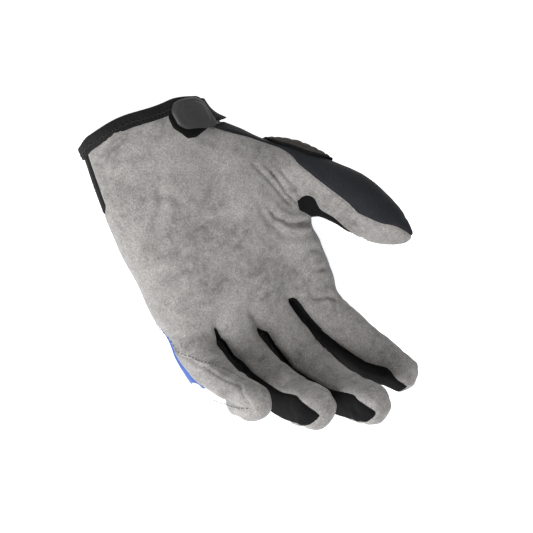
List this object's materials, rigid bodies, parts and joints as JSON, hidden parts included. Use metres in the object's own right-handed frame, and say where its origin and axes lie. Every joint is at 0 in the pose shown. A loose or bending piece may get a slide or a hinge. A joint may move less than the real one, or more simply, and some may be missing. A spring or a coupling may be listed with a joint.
{
  "type": "sailing glove",
  "caption": "Full-finger sailing glove for the left hand: suede palm, stretch sides and back, wrist strap closure.",
  "frame": {"origin": "centre of the wrist opening", "axes": "+X towards the little finger, +Y towards the fingertips, +Z out of the palm"},
  "size_m": [0.1425, 0.1993, 0.0793],
  "materials": {
    "suede": "brushed synthetic suede",
    "fourchette": "matte stretch knit",
    "softshell": "smooth softshell",
    "stretch": "matte neoprene with a knit face",
    "printed_back": "printed stretch knit",
    "binding": "folded edge tape",
    "elastic": "woven elastic",
    "knuckle_pad": "ribbed padded knit",
    "loop": "brushed loop pile",
    "hook": "moulded hooks",
    "strap": "bonded stretch fabric",
    "tab_rubber": "satin moulded rubber"
  },
  "bodies": {
    "hand": {"cuff_binding": "binding", "index_middle_crotch": "fourchette", "loop_patch": "loop", "middle_ring_crotch": "fourchette", "palm_suede": "suede", "printed_back_panel": "printed_back", "ring_little_crotch": "fourchette", "strap_anchor": "strap", "thumb_back_panel": "softshell", "thumb_knuckle_pad": "knuckle_pad", "thumb_palm_suede": "suede", "thumb_web_insert": "fourchette", "wrist_back_panel": "stretch", "wrist_elastic": "elastic"},
    "index_base": {"index_base_back": "printed_back", "index_base_fourchettes": "fourchette", "index_base_suede": "suede"},
    "index_tip": {"index_tip_back": "printed_back", "index_tip_fourchettes": "fourchette", "index_tip_suede": "suede"},
    "middle_base": {"middle_base_back": "printed_back", "middle_base_fourchettes": "fourchette", "middle_base_suede": "suede"},
    "middle_tip": {"middle_tip_back": "printed_back", "middle_tip_fourchettes": "fourchette", "middle_tip_suede": "suede"},
    "ring_base": {"ring_base_back": "printed_back", "ring_base_fourchettes": "fourchette", "ring_base_suede": "suede"},
    "ring_tip": {"ring_tip_back": "printed_back", "ring_tip_fourchettes": "fourchette", "ring_tip_suede": "suede"},
    "little_base": {"little_base_back": "printed_back", "little_base_fourchette": "fourchette", "little_base_gusset": "suede", "little_base_suede": "suede"},
    "little_tip": {"little_tip_back": "printed_back", "little_tip_fourchette": "fourchette", "little_tip_gusset": "suede", "little_tip_suede": "suede"},
    "thumb_base": {"thumb_base_back": "softshell", "thumb_base_fourchettes": "fourchette", "thumb_base_suede": "suede"},
    "thumb_tip": {"thumb_tip_back": "softshell", "thumb_tip_fourchettes": "fourchette", "thumb_tip_suede": "suede"},
    "closure_tab": {"hook_patch": "hook", "closure_strap": "strap", "pull_tab_rubber": "tab_rubber"}
  },
  "joints": [
    {"name": "index_root_bend", "type": "hinge", "parent": "hand", "child": "index_base", "pos_m": [-0.043, 0.13, -0.005], "axis": [0.9781, 0.2079, 0], "range_deg": [-7, 48]},
    {"name": "index_middle_bend", "type": "hinge", "parent": "index_base", "child": "index_tip", "pos_m": [-0.04795, 0.1533, -0.00208], "axis": [0.9781, 0.2079, 0], "range_deg": [-21, 46]},
    {"name": "middle_root_bend", "type": "hinge", "parent": "hand", "child": "middle_base", "pos_m": [-0.0186, 0.136, -0.005], "axis": [0.9998, 0.0175, 0], "range_deg": [-18, 37]},
    {"name": "middle_middle_bend", "type": "hinge", "parent": "middle_base", "child": "middle_tip", "pos_m": [-0.01905, 0.16168, 0.00334], "axis": [0.9998, 0.0175, 0], "range_deg": [-34, 38]},
    {"name": "ring_root_bend", "type": "hinge", "parent": "hand", "child": "ring_base", "pos_m": [0.0058, 0.13, -0.0055], "axis": [0.9981, -0.061, 0], "range_deg": [-24, 36]},
    {"name": "ring_middle_bend", "type": "hinge", "parent": "ring_base", "child": "ring_tip", "pos_m": [0.00719, 0.1528, 0.00467], "axis": [0.9981, -0.061, 0], "range_deg": [-31, 41]},
    {"name": "little_root_bend", "type": "hinge", "parent": "hand", "child": "little_base", "pos_m": [0.0292, 0.122, -0.005], "axis": [0.9744, -0.225, 0], "range_deg": [-34, 26]},
    {"name": "little_middle_bend", "type": "hinge", "parent": "little_base", "child": "little_tip", "pos_m": [0.03284, 0.13775, 0.0059], "axis": [0.9744, -0.225, 0], "range_deg": [-26, 41]},
    {"name": "thumb_root_bend", "type": "hinge", "parent": "hand", "child": "thumb_base", "pos_m": [-0.07356, 0.08762, 0.0138], "axis": [0.0513, 0.4152, -0.9083], "range_deg": [-15, 14]},
    {"name": "thumb_end_bend", "type": "hinge", "parent": "thumb_base", "child": "thumb_tip", "pos_m": [-0.0791, 0.09793, 0.0182], "axis": [0.0513, 0.4152, -0.9083], "range_deg": [-10, 30]},
    {"name": "closure_fold", "type": "hinge", "parent": "hand", "child": "closure_tab", "pos_m": [-0.0388, 0.016, 0], "axis": [0, -1, 0], "range_deg": [0, 140]}
  ]
}
